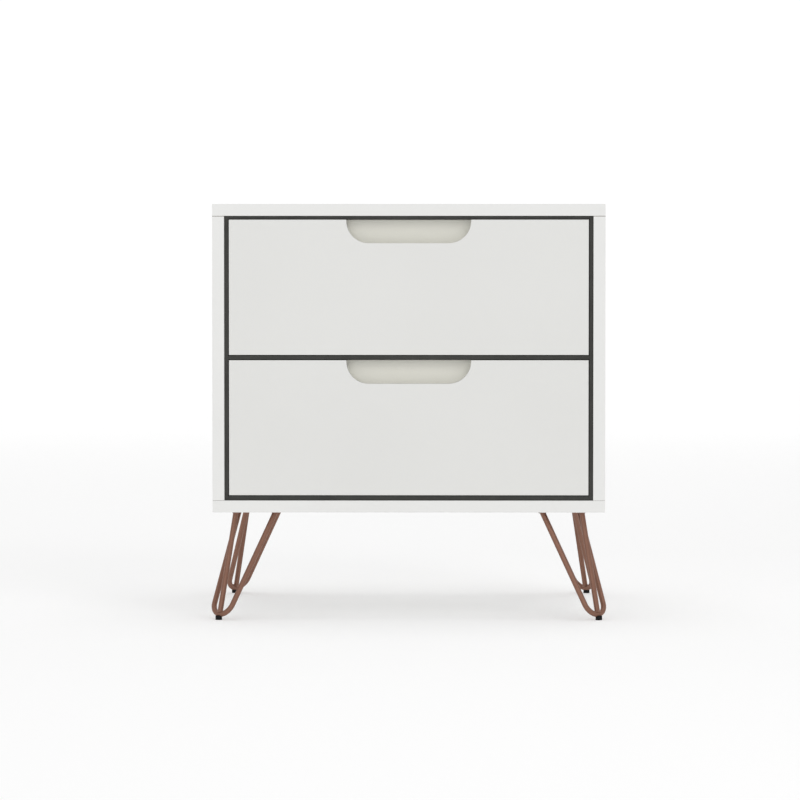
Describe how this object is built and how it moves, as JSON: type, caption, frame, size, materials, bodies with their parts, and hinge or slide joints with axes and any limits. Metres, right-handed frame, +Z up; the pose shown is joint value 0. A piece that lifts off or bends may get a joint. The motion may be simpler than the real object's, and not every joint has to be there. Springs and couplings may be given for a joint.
{
  "type": "nightstand",
  "caption": "Low white nightstand: a board carcass with stacked drawers in a dark surround, rounded finger notches, and splayed copper hairpin legs.",
  "frame": {"origin": "on the floor, under the centre of the carcass", "axes": "+Z up, -Y out of the drawer fronts, +X to the right as seen by someone facing them"},
  "size_m": [0.5152, 0.4452, 0.541],
  "materials": {
    "white_lacquer": "satin white lacquer on board",
    "dark_surround": "matt dark grey lacquer on board",
    "box_board": "white melamine on board",
    "hardboard": "white-faced hardboard",
    "runner_enamel": "white epoxy powder coat",
    "roller_nylon": "natural nylon",
    "copper_finish": "satin rose copper coating",
    "glide_black": "matt black",
    "dowel_beech": "fluted beech",
    "zinc_fittings": "zinc plated"
  },
  "bodies": {
    "cabinet": {"top_panel": "white_lacquer", "bottom_panel": "white_lacquer", "left_side_panel": "white_lacquer", "right_side_panel": "white_lacquer", "back_panel": "hardboard", "back_panel_nails": "zinc_fittings", "cam_bolts": "zinc_fittings", "cam_locks": "zinc_fittings", "dowels": "dowel_beech", "carcass_screws": "zinc_fittings", "left_stile": "dark_surround", "right_stile": "dark_surround", "top_rail": "dark_surround", "middle_rail": "dark_surround", "bottom_rail": "dark_surround", "leg_and_rail_screws": "zinc_fittings", "front_left_leg_rods": "copper_finish", "front_left_leg_plate": "copper_finish", "front_left_glide": "glide_black", "front_right_leg_rods": "copper_finish", "front_right_leg_plate": "copper_finish", "front_right_glide": "glide_black", "rear_left_leg_rods": "copper_finish", "rear_left_leg_plate": "copper_finish", "rear_left_glide": "glide_black", "rear_right_leg_rods": "copper_finish", "rear_right_leg_plate": "copper_finish", "rear_right_glide": "glide_black", "upper_left_cabinet_rail": "runner_enamel", "upper_right_cabinet_rail": "runner_enamel", "lower_left_cabinet_rail": "runner_enamel", "lower_right_cabinet_rail": "runner_enamel"},
    "upper_drawer": {"upper_drawer_front": "white_lacquer", "upper_box_front": "box_board", "upper_box_back": "box_board", "upper_drawer_bottom": "hardboard", "upper_box_screws": "zinc_fittings", "upper_drawer_rail_screws": "zinc_fittings", "upper_left_box_side": "box_board", "upper_left_drawer_rail": "runner_enamel", "upper_right_box_side": "box_board", "upper_right_drawer_rail": "runner_enamel"},
    "upper_left_front_roller": {"upper_left_front_roller": "roller_nylon"},
    "upper_left_rear_roller": {"upper_left_rear_roller": "roller_nylon"},
    "upper_right_front_roller": {"upper_right_front_roller": "roller_nylon"},
    "upper_right_rear_roller": {"upper_right_rear_roller": "roller_nylon"},
    "lower_drawer": {"lower_drawer_front": "white_lacquer", "lower_box_front": "box_board", "lower_box_back": "box_board", "lower_drawer_bottom": "hardboard", "lower_box_screws": "zinc_fittings", "lower_drawer_rail_screws": "zinc_fittings", "lower_left_box_side": "box_board", "lower_left_drawer_rail": "runner_enamel", "lower_right_box_side": "box_board", "lower_right_drawer_rail": "runner_enamel"},
    "lower_left_front_roller": {"lower_left_front_roller": "roller_nylon"},
    "lower_left_rear_roller": {"lower_left_rear_roller": "roller_nylon"},
    "lower_right_front_roller": {"lower_right_front_roller": "roller_nylon"},
    "lower_right_rear_roller": {"lower_right_rear_roller": "roller_nylon"}
  },
  "joints": [
    {"name": "upper_drawer_slide", "type": "slide", "parent": "cabinet", "child": "upper_drawer", "axis": [0, -1, 0], "range_m": [0, 0.3]},
    {"name": "upper_left_front_roller_spin", "type": "hinge", "parent": "cabinet", "child": "upper_left_front_roller", "pos_m": [-0.23343, -0.1827, 0.3727], "axis": [1, 0, 0], "continuous": true},
    {"name": "upper_left_rear_roller_spin", "type": "hinge", "parent": "upper_drawer", "child": "upper_left_rear_roller", "pos_m": [-0.23463, 0.1815, 0.3727], "axis": [1, 0, 0], "continuous": true},
    {"name": "upper_right_front_roller_spin", "type": "hinge", "parent": "cabinet", "child": "upper_right_front_roller", "pos_m": [0.23343, -0.1827, 0.3727], "axis": [1, 0, 0], "continuous": true},
    {"name": "upper_right_rear_roller_spin", "type": "hinge", "parent": "upper_drawer", "child": "upper_right_rear_roller", "pos_m": [0.23463, 0.1815, 0.3727], "axis": [1, 0, 0], "continuous": true},
    {"name": "lower_drawer_slide", "type": "slide", "parent": "cabinet", "child": "lower_drawer", "axis": [0, -1, 0], "range_m": [0, 0.3]},
    {"name": "lower_left_front_roller_spin", "type": "hinge", "parent": "cabinet", "child": "lower_left_front_roller", "pos_m": [-0.23343, -0.1827, 0.1904], "axis": [1, 0, 0], "continuous": true},
    {"name": "lower_left_rear_roller_spin", "type": "hinge", "parent": "lower_drawer", "child": "lower_left_rear_roller", "pos_m": [-0.23463, 0.1815, 0.1904], "axis": [1, 0, 0], "continuous": true},
    {"name": "lower_right_front_roller_spin", "type": "hinge", "parent": "cabinet", "child": "lower_right_front_roller", "pos_m": [0.23343, -0.1827, 0.1904], "axis": [1, 0, 0], "continuous": true},
    {"name": "lower_right_rear_roller_spin", "type": "hinge", "parent": "lower_drawer", "child": "lower_right_rear_roller", "pos_m": [0.23463, 0.1815, 0.1904], "axis": [1, 0, 0], "continuous": true}
  ],
  "couplings": [
    {"joint": "upper_left_front_roller_spin", "follows": "upper_drawer_slide", "rad_per_m": 90.909},
    {"joint": "upper_left_rear_roller_spin", "follows": "upper_drawer_slide", "rad_per_m": 90.909},
    {"joint": "upper_right_front_roller_spin", "follows": "upper_drawer_slide", "rad_per_m": 90.909},
    {"joint": "upper_right_rear_roller_spin", "follows": "upper_drawer_slide", "rad_per_m": 90.909},
    {"joint": "lower_left_front_roller_spin", "follows": "lower_drawer_slide", "rad_per_m": 90.909},
    {"joint": "lower_left_rear_roller_spin", "follows": "lower_drawer_slide", "rad_per_m": 90.909},
    {"joint": "lower_right_front_roller_spin", "follows": "lower_drawer_slide", "rad_per_m": 90.909},
    {"joint": "lower_right_rear_roller_spin", "follows": "lower_drawer_slide", "rad_per_m": 90.909}
  ]
}
